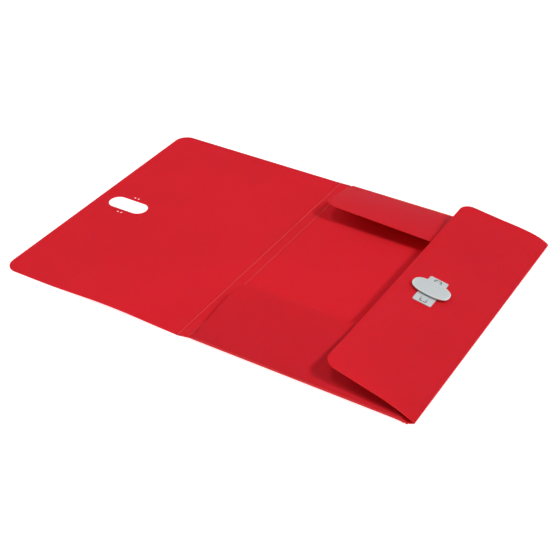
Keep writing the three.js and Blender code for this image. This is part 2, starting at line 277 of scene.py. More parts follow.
def inside(point, loop):
    """Whether a point is inside a closed outline."""
    result = False
    x, y = point
    for a, b in zip(loop, loop[1:] + loop[:1]):
        if (a.y > y) != (b.y > y) and x < (b.x - a.x) * (y - a.y) / (b.y - a.y) + a.x:
            result = not result
    return result


# ---- Meshes -------------------------------------------------------------------------------------


def new_object(name, bm):
    """Scene object of a bmesh, smooth except over sharp angles."""
    bmesh.ops.recalc_face_normals(bm, faces=bm.faces)
    mesh = bpy.data.meshes.new(name)
    bm.to_mesh(mesh)
    bm.free()
    for polygon in mesh.polygons:
        polygon.use_smooth = True
    mesh.set_sharp_from_angle(angle=math.radians(SMOOTH_ANGLE))
    obj = bpy.data.objects.new(name, mesh)
    bpy.context.scene.collection.objects.link(obj)
    return obj


def outward_directions(loop):
    """Unit directions out of an anticlockwise outline at its points."""
    result = []
    for i, point in enumerate(loop):
        following = loop[(i + 1) % len(loop)]
        along = (following - point).normalized() + (point - loop[i - 1]).normalized()
        result.append(Vector((along.y, -along.x)).normalized())
    return result


def clear_of_loops(point, loops, distance):
    """Whether a point stays at least a distance away from the outlines' points."""
    limit = distance * distance
    return all((point - other).length_squared > limit for loop in loops for other in loop)


def sheet(
    name, outer, holes, upper, square=None, thickness=SHEET, grid=GRID, edge_round=EDGE_ROUND,
):
    """Closed shell of an even thickness under the surface upper(u, v), with rounded edges.

    square(u, v) is true where the edge meets a crease and stays square.
    """
    loops = [outer] + [list(reversed(hole)) for hole in holes]
    outs = [outward_directions(loop) for loop in loops]
    rounds = [[0.0 if square and square(p.x, p.y) else edge_round for p in loop] for loop in loops]
    insets = [[p - o * r for p, o, r in zip(*three)] for three in zip(loops, outs, rounds)]

    flat = [p for loop in insets for p in loop]
    segments = []
    first = 0
    for loop in insets:
        count = len(loop)
        segments += [(first + k, first + (k + 1) % count) for k in range(count)]
        first += count
    low_u, high_u = min(p.x for p in outer), max(p.x for p in outer)
    low_v, high_v = min(p.y for p in outer), max(p.y for p in outer)
    columns = max(1, round((high_u - low_u) / grid))
    rows = max(1, round((high_v - low_v) / grid))
    for i in range(1, columns):
        for j in range(1, rows):
            u = low_u + (high_u - low_u) * i / columns
            v = low_v + (high_v - low_v) * j / rows
            p = Vector((u, v))
            if inside(p, insets[0]) and not any(inside(p, hole) for hole in insets[1:]):
                if clear_of_loops(p, insets, GRID_CLEARANCE * grid):
                    flat.append(p)
    points, _, faces = delaunay_2d_cdt(flat, segments, [], 0, 1e-7)[:3]
    faces = [f for f in faces if keeps(points, f, insets)]

    def place(u, v, depth):
        return surface_point(upper, u, v, depth)

    bm = bmesh.new()
    # Paler colour along the rounded edges is a painted highlight; creases use the same attribute
    # for their whitening.
    rim = bm.verts.layers.float.new("whitening_and_painted_highlight")
    top = [bm.verts.new(place(p.x, p.y, 0)) for p in points]
    bottom = [bm.verts.new(place(p.x, p.y, thickness)) for p in points]
    for face in faces:
        bm.faces.new([top[k] for k in face])
        bm.faces.new([bottom[k] for k in reversed(face)])
    first = 0
    for loop, out, radii in zip(loops, outs, rounds):
        count = len(loop)
        rings = [top[first:first + count]]
        for k in range(1, 2 * EDGE_STEPS):
            ring = []
            for p, o, radius in zip(loop, out, radii):
                back, depth = edge_profile(k, max(radius, TINY), thickness)
                q = p - o * back
                ring.append(bm.verts.new(place(q.x, q.y, depth)))
                ring[-1][rim] = RIM_PAINTED_HIGHLIGHT if radius > 0 else 0.0
            rings.append(ring)
        rings.append(bottom[first:first + count])
        for ring, following in zip(rings, rings[1:]):
            for k in range(count):
                after = (k + 1) % count
                bm.faces.new([ring[k], following[k], following[after], ring[after]])
        first += count
    bmesh.ops.remove_doubles(bm, verts=bm.verts, dist=MERGE_DISTANCE)
    bmesh.ops.join_triangles(
        bm, faces=[f for f in bm.faces if len(f.verts) == 3],
        angle_face_threshold=0.3, angle_shape_threshold=0.6,
    )
    return new_object(name, bm)


def edge_profile(step, radius, thickness):
    """Distance back from the outline, and depth, at a step down the rounded edge of a sheet."""
    if step <= EDGE_STEPS:
        angle = math.pi / 2 * step / EDGE_STEPS
        return radius * (1 - math.sin(angle)), radius * (1 - math.cos(angle))
    angle = math.pi / 2 * (step - EDGE_STEPS) / EDGE_STEPS
    return radius * (1 - math.cos(angle)), thickness - radius * (1 - math.sin(angle))


def keeps(points, face, loops):
    """Whether a triangle lies inside the outline and outside its holes."""
    middle = sum((points[k] for k in face), Vector((0, 0))) / len(face)
    return inside(middle, loops[0]) and not any(inside(middle, hole) for hole in loops[1:])


def surface_point(upper, u, v, depth):
    """Point at a depth under a surface, along its upward normal."""
    point = upper(u, v)
    if depth == 0:
        return point
    small = 0.05 * MM
    along_u = upper(u + small, v) - upper(u - small, v)
    along_v = upper(u, v + small) - upper(u, v - small)
    normal = along_u.cross(along_v).normalized()
    if normal.z < 0:
        normal.negate()
    return point - normal * depth


def grid_shell(name, rows):
    """Closed tube through equal rings of points, with its two ends capped."""
    bm = bmesh.new()
    rings = [[bm.verts.new(p) for p in row] for row in rows]
    count = len(rings[0])
    for ring, following in zip(rings, rings[1:]):
        for k in range(count):
            after = (k + 1) % count
            bm.faces.new([ring[k], ring[after], following[after], following[k]])
    bm.faces.new(list(reversed(rings[0])))
    bm.faces.new(rings[-1])
    return new_object(name, bm)


def smoothstep(t):
    """Smooth ramp from 0 to 1."""
    t = max(0.0, min(1.0, t))
    return t * t * (3 - 2 * t)


def bell(t):
    """Smooth hump: 1 at 0, and 0 from 1 outwards."""
    return 0.5 * (1 + math.cos(math.pi * min(1.0, abs(t))))


# ---- The sheet's surfaces -----------------------------------------------------------------------


def side_lift(side, x):
    """How high a side fold is lifted off the desk, along X."""
    at_spine, at_gusset = BASE_LIFTS[side]
    return at_spine + (at_gusset - at_spine) * (x - SPINE_AXIS.x) / (GUSSET_AXIS.x - SPINE_AXIS.x)


def lift_share(x):
    """Share of the lift that is left along X: it runs out at the gusset."""
    return smoothstep((GUSSET_AXIS.x - x) / LIFT_RUN_OUT)


def base_lift(x, y):
    """Lift of the base and spine over the desk."""
    near = side_lift("bottom", x) * smoothstep(1 - (y + SIDE_FOLD_Y) / LIFT_DEPTH)
    far = side_lift("top", x) * smoothstep(1 - (SIDE_FOLD_Y - y) / LIFT_DEPTH)
    return (near + far) * lift_share(x)


def base_surface(x, y):
    """Inner face of the base."""
    return Vector((x, y, SHEET + base_lift(x, y)))


def spine_surface(x, y):
    """Inner face of the spine, which leans from the lifted base down to the cover."""
    share = smoothstep((x - COVER_AXIS.x) / (SPINE_AXIS.x - COVER_AXIS.x))
    return Vector((x, y, SHEET + share * base_lift(SPINE_AXIS.x, y)))


def cover_surface(x, y):
    """Inner face of the cover, with the bulge along its near edge."""
    along = bell((x - COVER_BULGE_CENTRE) / COVER_BULGE_REACH)
    across = bell((y + HALF_HEIGHT) / COVER_BULGE_DEPTH)
    return Vector((x, y, SHEET + COVER_BULGE * along * across))


def gusset_surface(distance, y):
    """Inner face of the gusset, at a distance from the base fold."""
    out, rise = math.cos(GUSSET_TILT), math.sin(GUSSET_TILT)
    return GUSSET_AXIS + Vector((distance * out, y, distance * rise))


def flap_surface(distance, y):
    """Outer face of the closing flap, at a distance from its fold."""
    radius = FLAP_ARC_LENGTH / (FLAP_LEAN_AT_FOLD - FLAP_LEAN_OUTER)
    on_arc = min(distance, FLAP_ARC_LENGTH)
    lean = FLAP_LEAN_AT_FOLD - on_arc / radius
    straight = distance - on_arc
    across = radius * (math.sin(FLAP_LEAN_AT_FOLD) - math.sin(lean)) + straight * math.cos(lean)
    up = radius * (math.cos(lean) - math.cos(FLAP_LEAN_AT_FOLD)) + straight * math.sin(lean)
    normal = Vector((math.sin(lean), 0, math.cos(lean)))
    height = FLAP_CURLS["near" if y < 0 else "far"]
    curl = height * (y / FLAP_HALF_AT_EDGE) ** 2 * (distance / FLAP_DEPTH) ** FLAP_CURL_GROWTH
    along = distance / FLAP_HUMP_AT
    share = smoothstep((y - FLAP_HUMP_START) / (FLAP_HALF_AT_FOLD - FLAP_HUMP_START))
    hump = FLAP_HUMP * along * math.exp(1 - along) * share
    return CLOSING_AXIS + Vector((-across, y, up + curl + hump)) + normal * SHEET


def side_rise(side, x, depth):
    """Height of a side flap's lower face over its fold axis, at a depth from the fold."""
    shape = SIDE_SHAPES[side]
    twist = shape["twist"] * (1 - (x - SPINE_AXIS.x) / shape["reach"]) * (depth / SIDE_DEPTH) ** 2
    return shape["slope"] * depth - shape["bow"] / MM * depth * depth + twist


def side_surface(side):
    """Upper face of a side flap as a function of x and of the depth from its fold."""
    axis = SIDE_AXES[side]
    inward = 1 if side == "bottom" else -1
    gap = axis.z - SHEET

    def upper(x, depth):
        rise = side_rise(side, x, depth)
        slope = math.atan2(rise, max(depth, TINY))
        across = depth * math.cos(slope)
        lift = side_lift(side, x) * lift_share(x)
        return Vector((x, axis.y + inward * across, axis.z + lift + gap + SHEET + rise))

    return upper


# ---- Materials ----------------------------------------------------------------------------------


CLOUDS_PER_METRE = 9.0
FLECKS_PER_METRE = 2600.0
FLECK_SHARE = 0.03
SCUFFS_PER_METRE = 240.0
ROUGHNESS_SPREAD = (-0.05, 0.08)
WAVES_PER_METRE = 60.0
WAVE_STRENGTH = 0.25
WAVE_HEIGHT = 0.3 * MM
GRAINS_PER_METRE = 1900.0
GRAIN_HEIGHT = 0.06 * MM
# How far red, green and blue light soaks through the sheet, as shares of the scale.
SOAK_REACH = (1.0, 0.12, 0.06)
SOAK_SCALE = 2 * MM


def node(tree, kind, **inputs):
    """New shader node with some of its sockets set; _ in a name stands for a space."""
    made = tree.nodes.new(kind)
    for key, value in inputs.items():
        made.inputs[key.replace("_", " ")].default_value = value
    return made


def colour_mix(tree, factor, a, b):
    """Colour mix node; a and b are sockets or colours."""
    mix = tree.nodes.new("ShaderNodeMix")
    mix.data_type = "RGBA"
    for index, value in ((0, factor), (6, a), (7, b)):
        if isinstance(value, (float, int, tuple)):
            mix.inputs[index].default_value = value
        else:
            tree.links.new(value, mix.inputs[index])
    return mix.outputs[2]


def ramp(tree, value, low, high):
    """Map a socket's low..high range to 0..1."""
    made = node(tree, "ShaderNodeMapRange", From_Min=low, From_Max=high)
    tree.links.new(value, made.inputs["Value"])
    return made.outputs["Result"]


def noise(tree, where, scale, detail, roughness=0.55):
    """Noise node at a scale in cells per metre."""
    made = node(tree, "ShaderNodeTexNoise", Scale=scale, Detail=detail, Roughness=roughness)
    tree.links.new(where, made.inputs["Vector"])
    return made.outputs["Fac"]


def attribute(tree, name):
    """Value of a mesh attribute."""
    reading = tree.nodes.new("ShaderNodeAttribute")
    reading.attribute_name = name
    return reading.outputs["Fac"]


def bump(tree, height, strength, distance, before=None):
    """Bump from a height socket, over an earlier bump's normal."""
    made = node(tree, "ShaderNodeBump", Strength=strength, Distance=distance)
    tree.links.new(height, made.inputs["Height"])
    if before:
        tree.links.new(before, made.inputs["Normal"])
    return made.outputs["Normal"]


def plastic(name, colour, deep, pale, roughness, grain, specular, soak=0.0):
    """Moulded or rolled plastic: cloudy colour, fine grain, scuffs, whitened creases, and painted
    light:
    a painted highlight on edges, a painted glow and painted shade.

    soak is the share of light that soaks through the sheet.
    """
    material = bpy.data.materials.new(name)
    material.use_nodes = True
    tree = material.node_tree
    tree.nodes.clear()
    output = tree.nodes.new("ShaderNodeOutputMaterial")
    shader = node(tree, "ShaderNodeBsdfPrincipled")
    shader.inputs["Specular IOR Level"].default_value = specular
    shader.inputs["Subsurface Weight"].default_value = soak
    shader.inputs["Subsurface Radius"].default_value = SOAK_REACH
    shader.inputs["Subsurface Scale"].default_value = SOAK_SCALE
    tree.links.new(shader.outputs["BSDF"], output.inputs["Surface"])
    where = tree.nodes.new("ShaderNodeTexCoord").outputs["Object"]

    clouds = ramp(tree, noise(tree, where, CLOUDS_PER_METRE, 4.0), 0.3, 0.7)
    base = colour_mix(tree, clouds, deep, colour)
    flecks = ramp(tree, noise(tree, where, FLECKS_PER_METRE, 2.0), 0.35, 0.75)
    base = colour_mix(tree, share_of(tree, flecks, FLECK_SHARE), base, pale)
    # Whitened creases and painted highlights, the painted glow and the painted shade, mixed in from
    # mesh attributes.
    for tint_name, tint in (("whitening_and_painted_highlight", pale), ("glow", GLOW_COLOUR), ("shade", SHADE_COLOUR)):
        base = colour_mix(tree, attribute(tree, tint_name), base, tint)
    tree.links.new(base, shader.inputs["Base Color"])

    scuffs = ramp(tree, noise(tree, where, SCUFFS_PER_METRE, 6.0, 0.7), 0.35, 0.8)
    smoother, rougher = roughness + ROUGHNESS_SPREAD[0], roughness + ROUGHNESS_SPREAD[1]
    rough = node(tree, "ShaderNodeMapRange", To_Min=smoother, To_Max=rougher)
    tree.links.new(scuffs, rough.inputs["Value"])
    tree.links.new(rough.outputs["Result"], shader.inputs["Roughness"])

    waves = bump(tree, noise(tree, where, WAVES_PER_METRE, 2.0), WAVE_STRENGTH, WAVE_HEIGHT)
    grained = bump(tree, noise(tree, where, GRAINS_PER_METRE, 3.0), grain, GRAIN_HEIGHT, waves)
    tree.links.new(grained, shader.inputs["Normal"])
    return material


def share_of(tree, value, share):
    """A socket's value times a share."""
    made = tree.nodes.new("ShaderNodeMath")
    made.operation = "MULTIPLY"
    tree.links.new(value, made.inputs[0])
    made.inputs[1].default_value = share
    return made.outputs[0]


# Orange of the painted glow where light shines through the far fold.
GLOW_COLOUR = (0.86, 0.11, 0.015, 1)
# Dark colour of the painted shade in the plate's grooves and on its pins.
SHADE_COLOUR = (0.10, 0.12, 0.09, 1)
SHEET_MATERIAL = plastic(
    "red_polypropylene",
    (0.65, 0.018, 0.030, 1), (0.61, 0.017, 0.0285, 1), (0.80, 0.05, 0.05, 1),
    roughness=0.5, grain=0.3, specular=0.01, soak=0.75,
)
CREASE_MATERIAL = plastic(
    "creased_polypropylene",
    (0.70, 0.026, 0.036, 1), (0.66, 0.022, 0.032, 1), (0.80, 0.08, 0.075, 1),
    roughness=0.5, grain=0.25, specular=0.01, soak=0.75,
)
CLOSURE_MATERIAL = plastic(
    "grey_moulded_plastic", (0.60, 0.64, 0.65, 1), (0.575, 0.615, 0.625, 1), (0.70, 0.77, 0.77, 1),
    roughness=0.4, grain=0.2, specular=0.4,
)


def tone(obj, tint_name, value_at):
    """Per-vertex value that the material reads, from a function of the vertex's place."""
    layer = obj.data.attributes.new(tint_name, "FLOAT", "POINT")
    layer.data.foreach_set("value", [value_at(v.co) for v in obj.data.vertices])


def finish(obj, material, body, replaced):
    """Gives a piece its material and its body, and hides the CAD node that it stands for."""
    obj.data.materials.append(material)
    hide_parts(replaced)
    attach(obj, body)


# ---- Flat panels --------------------------------------------------------------------------------


def make_base():
    """Base panel, notched along both side folds."""
    left = SPINE_AXIS.x + EDGE_TO_AXIS
    right = GUSSET_AXIS.x - EDGE_TO_AXIS
    end = base_high.y
    set_back = SIDE_FOLD_Y - EDGE_TO_AXIS
    notch_start = side_low.x - EDGE_TO_AXIS
    notch_end = side_high.x + EDGE_TO_AXIS
    corners = [
        (left, -end), (notch_start, -end), (notch_start, -set_back), (notch_end, -set_back),
        (notch_end, -end), (right, -end), (right, end), (notch_end, end), (notch_end, set_back),
        (notch_start, set_back), (notch_start, end), (left, end),
    ]

    def at_crease(u, v):
        on_fold = min(abs(u - left), abs(u - right)) < TINY
        in_notch = notch_start - TINY < u < notch_end + TINY
        return on_fold or (abs(abs(v) - set_back) < TINY and in_notch)

    outer = outline([(u, v, 0) for u, v in corners])
    obj = sheet("base_panel_sheet", outer, [], base_surface, at_crease)
    finish(obj, SHEET_MATERIAL, "base", "base_panel")


def make_spine():
    """Spine panel."""
    left = COVER_AXIS.x + EDGE_TO_AXIS
    right = SPINE_AXIS.x - EDGE_TO_AXIS
    outer = outline(rectangle(left, right, -HALF_HEIGHT, HALF_HEIGHT))

    def at_crease(u, v):
        return min(abs(u - left), abs(u - right)) < TINY

    obj = sheet("spine_panel_sheet", outer, [], spine_surface, at_crease, grid=NARROW_GRID)
    finish(obj, SHEET_MATERIAL, "spine", "spine_panel")


def make_cover():
    """Front cover with the obround slot and the four peg holes."""
    fold_side = COVER_AXIS.x - EDGE_TO_AXIS
    corners = [
        (cover_low.x, -HALF_HEIGHT, COVER_CORNER), (fold_side, -HALF_HEIGHT, 0),
        (fold_side, HALF_HEIGHT, 0), (cover_low.x, HALF_HEIGHT, COVER_CORNER),
    ]
    slot_box = next(o for o in frame["record"]["physics"]["openings"] if o["name"] == "cover_slot")
    low, high = slot_box["box_m"]
    slot_x = (low[0] + high[0]) / 2
    holes = [obround(slot_x, 0, SLOT_LENGTH, SLOT_WIDTH)]
    for x in (-HOLE_SPACING_X / 2, HOLE_SPACING_X / 2):
        for y in (-HOLE_SPACING_Y / 2, HOLE_SPACING_Y / 2):
            holes.append(circle(slot_x + x, y, HOLE_RADIUS))

    def at_crease(u, v):
        return abs(u - fold_side) < TINY

    obj = sheet("front_cover_sheet", outline(corners), holes, cover_surface, at_crease)
    finish(obj, SHEET_MATERIAL, "cover", "front_cover")


def make_gusset():
    """Closing gusset, the narrow strip between base and closing flap."""
    width = (CLOSING_AXIS - GUSSET_AXIS).length - EDGE_TO_AXIS
    end = GUSSET_LENGTH / 2
    outer = outline(rectangle(EDGE_TO_AXIS, width, -end, end))

    def at_crease(u, v):
        return min(abs(u - EDGE_TO_AXIS), abs(u - width)) < TINY

    obj = sheet("closing_gusset_sheet", outer, [], gusset_surface, at_crease, grid=GUSSET_GRID)
    finish(obj, SHEET_MATERIAL, "gusset", "closing_gusset")


def make_closing_flap():
    """Closing flap: bowed sheet with rounded outer corners and the hole for the button's post."""
    corners = [
        (EDGE_TO_AXIS, -FLAP_HALF_AT_FOLD, 0), (FLAP_DEPTH, -FLAP_HALF_AT_EDGE, FLAP_CORNER),
        (FLAP_DEPTH, FLAP_HALF_AT_EDGE, FLAP_CORNER), (EDGE_TO_AXIS, FLAP_HALF_AT_FOLD, 0),
    ]
    reach = (BUTTON_CENTRE - flap_surface(FLAP_ARC_LENGTH, 0)).length
    hole = circle(FLAP_ARC_LENGTH + reach, 0, POST_HOLE_RADIUS)

    def at_crease(u, v):
        return abs(u - EDGE_TO_AXIS) < TINY

    obj = sheet("closing_flap_sheet", outline(corners), [hole], flap_surface, at_crease)
    finish(obj, SHEET_MATERIAL, "closing_flap", "closing_flap")


# ---- Side flaps ---------------------------------------------------------------------------------

# Painted glow: orange colour painted along the far fold and the top flap's margin, standing in for
# light shining through the sheet.
FOLD_GLOW = 0.55
FOLD_GLOW_START = 25 * MM
FOLD_GLOW_RAMP = 30 * MM


def side_ends(side, depth):
    """Ends of a side flap along X at a depth from its fold."""
    start, lean = SIDE_STARTS[side]
    return SPINE_AXIS.x + start + depth * lean, side_high.x - depth * SIDE_END_TAPER


def fold_glow(x):
    """How much light from behind shines through the far fold, along X."""
    return FOLD_GLOW * smoothstep((x - FOLD_GLOW_START) / FOLD_GLOW_RAMP)


def margin_glow(co):
    """The far fold's glow, fading over the first millimetres of the top flap."""
    return fold_glow(co.x) * smoothstep((co.y - base_high.y + 3 * MM) / (2 * MM))


def make_side_flap(side):
    """Side flap in two pieces: the margin by the fold, and the outer part beyond it."""
    upper = side_surface(side)
    parts = (("margin", EDGE_TO_AXIS, SIDE_SEAM, 0), ("flap", SIDE_SEAM, SIDE_DEPTH, SIDE_CORNER))

    def at_seam(u, v):
        return min(abs(v - EDGE_TO_AXIS), abs(v - SIDE_SEAM)) < TINY

    for part, near, far, radius in parts:
        near_start, near_end = side_ends(side, near)
        far_start, far_end = side_ends(side, far)
        corners = [
            (near_start, near, 0), (near_end, near, 0),
            (far_end, far, radius), (far_start, far, radius),
        ]
        grid = NARROW_GRID if part == "margin" else GRID
        obj = sheet(f"{side}_flap_{part}_sheet", outline(corners), [], upper, at_seam, grid=grid)
        obj.data.materials.append(SHEET_MATERIAL)
        if part == "margin" and side == "top":
            tone(obj, "glow", margin_glow)
        if part == "margin":
            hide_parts(f"{side}_flap_margin")
            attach(obj, f"{side}_flap_margin")
            continue
        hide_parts(f"{side}_flap")
        middle = (near_start + near_end) / 2
        start = upper(middle, SIDE_SEAM)
        end = upper(middle, SIDE_BEND_END)
        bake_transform(obj)


# ---- Creases ------------------------------------------------------------------------------------

CREASE_STEPS = 12
SIDE_CREASE_TONE = 0.25
CREASE_TONES = {"spine_cover_crease": 0.85, "base_spine_crease": 0.6}
HINGE_GROOVE = 0.22 * MM


def crease_section(inner, turn):
    """Section of a living hinge around its axis: (across, height) points, bent by a turn.

    inner is the height of the sheet's inner face over the axis before it is bent.
    """
    ring = []
    for k in range(CREASE_STEPS + 1):
        t = -EDGE_TO_AXIS + 2 * EDGE_TO_AXIS * k / CREASE_STEPS
        groove = HINGE_GROOVE * bell(t / EDGE_TO_AXIS)
        ring.append((t, inner - groove))
    for k in range(CREASE_STEPS, -1, -1):
        t = -EDGE_TO_AXIS + 2 * EDGE_TO_AXIS * k / CREASE_STEPS
        ring.append((t, inner - SHEET))
    bent = []
    for t, height in ring:
        angle = turn * smoothstep((t + EDGE_TO_AXIS) / (2 * EDGE_TO_AXIS))
        bent.append((
            t * math.cos(angle) - height * math.sin(angle),
            t * math.sin(angle) + height * math.cos(angle),
        ))
    return bent


def make_crease(
    name, axis_at, stations, across, inner, turn, replaced, slope_before=0.0, tones=None,
):
    """Crease along stations: axis_at(s) is a point on its axis, across points from panel to panel.

    replaced is the CAD node that it stands for, slope_before the first panel's tilt, and tones
    gives the functions behind the material's attributes.
    """
    up = Vector((0, 0, 1))
    rows = []
    for s in stations:
        section = crease_section(inner, turn)
        c, d = math.cos(slope_before), math.sin(slope_before)
        rows.append([
            axis_at(s) + across * (a * c - h * d) + up * (a * d + h * c) for a, h in section
        ])
    obj = grid_shell(name, rows)
    for tint_name, value_at in (tones or {}).items():
        tone(obj, tint_name, value_at)
    obj.data.materials.append(CREASE_MATERIAL)
    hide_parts(replaced)
    return obj


def spread(low, high, step):
    """Evenly spaced values from low to high."""
    count = max(1, math.ceil((high - low) / step))
    return [low + (high - low) * k / count for k in range(count + 1)]


def make_flat_creases():
    """The two spine creases, flat while the folder is open, and the base's crease to the gusset."""
    across = Vector((1, 0, 0))

    def base_spine(y):
        return Vector((SPINE_AXIS.x, y, spine_surface(SPINE_AXIS.x, y).z))

    def spine_cover(y):
        return Vector((COVER_AXIS.x, y, cover_surface(COVER_AXIS.x, y).z))

    along = spread(-HALF_HEIGHT, HALF_HEIGHT, GRID)
    for name, bodies, axis_at, axis in (
        ("spine_cover_crease", ("spine", "cover"), spine_cover, COVER_AXIS),
        ("base_spine_crease", ("base", "spine"), base_spine, SPINE_AXIS),
    ):
        line = CREASE_TONES[name]
        tones = {"whitening_and_painted_highlight": lambda co: line * bell((co.x - axis.x) / (1.05 * EDGE_TO_AXIS))}
        obj = make_crease(f"{name}_hinge", axis_at, along, across, 0, 0, name, tones=tones)
        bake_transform(obj)

    end = GUSSET_LENGTH / 2
    obj = make_crease(
        "base_gusset_crease_hinge", lambda y: GUSSET_AXIS + Vector((0, y, 0)),
        spread(-end, end, GRID), across, 0, GUSSET_TILT, "base_gusset_crease",
    )
    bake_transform(obj)


def make_closing_crease():
    """The sharp crease between gusset and closing flap."""
    turn = math.pi - GUSSET_TILT - FLAP_LEAN_AT_FOLD
    end = GUSSET_LENGTH / 2
    obj = make_crease(
        "gusset_flap_crease_hinge", lambda y: CLOSING_AXIS + Vector((0, y, 0)),
        spread(-end, end, GRID), Vector((1, 0, 0)), 0, turn, "gusset_flap_crease",
        slope_before=GUSSET_TILT,
    )
    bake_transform(obj)


def make_side_crease(side):
    """Folded crease of a side flap, from the base round to the flap above it."""
    axis = SIDE_AXES[side]
    outward = Vector((0, -1 if side == "bottom" else 1, 0))
    inner = SHEET - axis.z

    def axis_at(x):
        lift = side_lift(side, x) * lift_share(x)
        return Vector((x, axis.y, axis.z + lift))

    turn = math.pi - math.atan(SIDE_SHAPES[side]["slope"])
    tones = {"whitening_and_painted_highlight": lambda co: SIDE_CREASE_TONE}
    if side == "top":
        tones["glow"] = lambda co: fold_glow(co.x) if co.z > axis.z else 0.0
    obj = make_crease(
        f"{side}_flap_crease_hinge", axis_at, spread(side_low.x, side_high.x, GRID), outward, inner,
        turn, f"{side}_flap_crease", tones=tones,
    )
    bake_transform(obj)


# ---- Closure ------------------------------------------------------------------------------------

plate_top = PLATE_GAP + PLATE_THICKNESS
button_bottom = plate_top + BUTTON_CLEARANCE
button_top = button_bottom + BUTTON_THICKNESS
back_top = -SHEET - FACE_GAP
washer_top = back_top - PLATE_THICKNESS - FACE_GAP
head_top = washer_top - WASHER_THICKNESS - FACE_GAP


def closure_matrix():
    """Frame of the closure: +Z along the button's axis, +Y along the spine."""
    z = BUTTON_AXIS.normalized()
    y = Vector((0, 1, 0))
    x = y.cross(z)
    return Matrix.Translation(BUTTON_CENTRE) @ Matrix((x, y, z)).transposed().to_4x4()


def flat_at(height):
    """Level surface at a height in the closure's frame."""
    return lambda u, v: Vector((u, v, height))


def turned(name, profile, steps=64):
    """Closed body turned about Z from a (radius, height) profile with its ends on the axis."""
    bm = bmesh.new()
    rings = []
    for radius, z in profile[1:-1]:
        ring = []
        for k in range(steps):
            a = 2 * math.pi * k / steps
            ring.append(bm.verts.new((radius * math.cos(a), radius * math.sin(a), z)))
        rings.append(ring)
    for ring, following in zip(rings, rings[1:]):
        for k in range(steps):
            after = (k + 1) % steps
            bm.faces.new([ring[k], ring[after], following[after], following[k]])
    for ring, (_, z), flip in ((rings[0], profile[0], True), (rings[-1], profile[-1], False)):
        tip = bm.verts.new((0, 0, z))
        for k in range(steps):
            pair = [ring[k], ring[(k + 1) % steps]]
            bm.faces.new([tip] + (list(reversed(pair)) if flip else pair))
    return new_object(name, bm)


def joined(target, others, operation="UNION"):
    """Applies booleans of some objects to a target, and removes them."""
    for other in others:
        modifier = target.modifiers.new("cut", "BOOLEAN")
        modifier.object = other
        modifier.operation = operation
        modifier.solver = "EXACT"
        depsgraph = bpy.context.evaluated_depsgraph_get()
        mesh = bpy.data.meshes.new_from_object(target.evaluated_get(depsgraph))
        target.modifiers.clear()
        target.data = mesh
        bpy.data.objects.remove(other)
    target.data.set_sharp_from_angle(angle=math.radians(SMOOTH_ANGLE))
    return target


def hooked_groove(sign_x, sign_y):
    """Outline of a hooked groove: a straight stroke that bends in through a quarter turn."""
    bend_x = GROOVE_OFFSET - GROOVE_BEND_RADIUS
    outer = GROOVE_BEND_RADIUS + GROOVE_WIDTH / 2
    inner = GROOVE_BEND_RADIUS - GROOVE_WIDTH / 2
    angles = spread(0, math.pi / 2, math.pi / 16)
    points = [(bend_x + outer, GROOVE_START)]
    points += [(bend_x + outer * math.cos(a), GROOVE_BEND + outer * math.sin(a)) for a in angles]
    tail_x = bend_x - GROOVE_TAIL
    points += [(tail_x, GROOVE_BEND + outer), (tail_x, GROOVE_BEND + inner)]
    angles.reverse()
    points += [(bend_x + inner * math.cos(a), GROOVE_BEND + inner * math.sin(a)) for a in angles]
    points.append((bend_x + inner, GROOVE_START))
    if sign_x * sign_y < 0:
        points.reverse()
    return [Vector((x * sign_x, y * sign_y)) for x, y in points]


def prism(name, loop, low, high):
    """Straight-sided body over an anticlockwise outline."""
    return grid_shell(name, [[Vector((p.x, p.y, z)) for p in loop] for z in (low, high)])


def make_plates():
    """Front plate with its four hooked grooves and low pins, and the back plate behind the flap."""
    hole = circle(0, 0, POST_HOLE_RADIUS, 48)
    u, v = PLATE_WIDTH / 2, PLATE_LENGTH / 2
    outer = outline(rectangle(-u, u, -v, v, PLATE_CORNER), PLATE_GRID)
    plate = sheet(
        "closure_front_plate", outer, [hole], flat_at(plate_top),
        thickness=PLATE_THICKNESS, grid=PLATE_GRID, edge_round=PLATE_EDGE_ROUND,
    )
    floor = plate_top - GROOVE_DEPTH
    for sign_x in (-1, 1):
        for sign_y in (-1, 1):
            loop = hooked_groove(sign_x, sign_y)
            groove = prism("groove_cutter", loop, floor, plate_top + 1 * MM)
            joined(plate, [groove], "DIFFERENCE")
            pin = turned("pin", [
                (0, floor), (PIN_RADIUS, floor), (PIN_RADIUS, plate_top + PIN_STRAIGHT),
                (PIN_RADIUS - PIN_BEVEL, plate_top + PIN_HEIGHT), (0, plate_top + PIN_HEIGHT),
            ], 24)
            x = sign_x * PIN_SPACING_X / 2
            y = sign_y * PIN_SPACING_Y / 2
            pin.data.transform(Matrix.Translation((x, y, 0)))
            joined(plate, [pin])

    # Painted shade: the groove floors take the dark shade colour in full, the pin tops a share of
    # it.
    def groove_shade(co):
        near = 0.02 * MM
        if co.z > plate_top + near:
            return PIN_SHADE
        return 1.0 if abs(co.y) > GROOVE_START and abs(co.z - floor) < near else 0.0

    tone(plate, "shade", groove_shade)
    plate.data.transform(closure_matrix())
    finish(plate, CLOSURE_MATERIAL, "closing_flap", "closure_plate")

    back = sheet(
        "closure_back_plate", outer, [hole], flat_at(back_top),
        thickness=PLATE_THICKNESS, grid=PLATE_GRID, edge_round=PLATE_EDGE_ROUND,
    )
    back.data.transform(closure_matrix())
    finish(back, CLOSURE_MATERIAL, "closing_flap", "back_plate")


def make_washer():
    """Washer that the button's post snaps through."""
    washer = sheet(
        "button_washer", circle(0, 0, WASHER_RADIUS, 64), [circle(0, 0, POST_HOLE_RADIUS, 48)],
        flat_at(washer_top),
        thickness=WASHER_THICKNESS, grid=WASHER_GRID, edge_round=WASHER_EDGE_ROUND,
    )
    washer.data.transform(closure_matrix())
    finish(washer, CLOSURE_MATERIAL, "closing_flap", "retaining_washer")


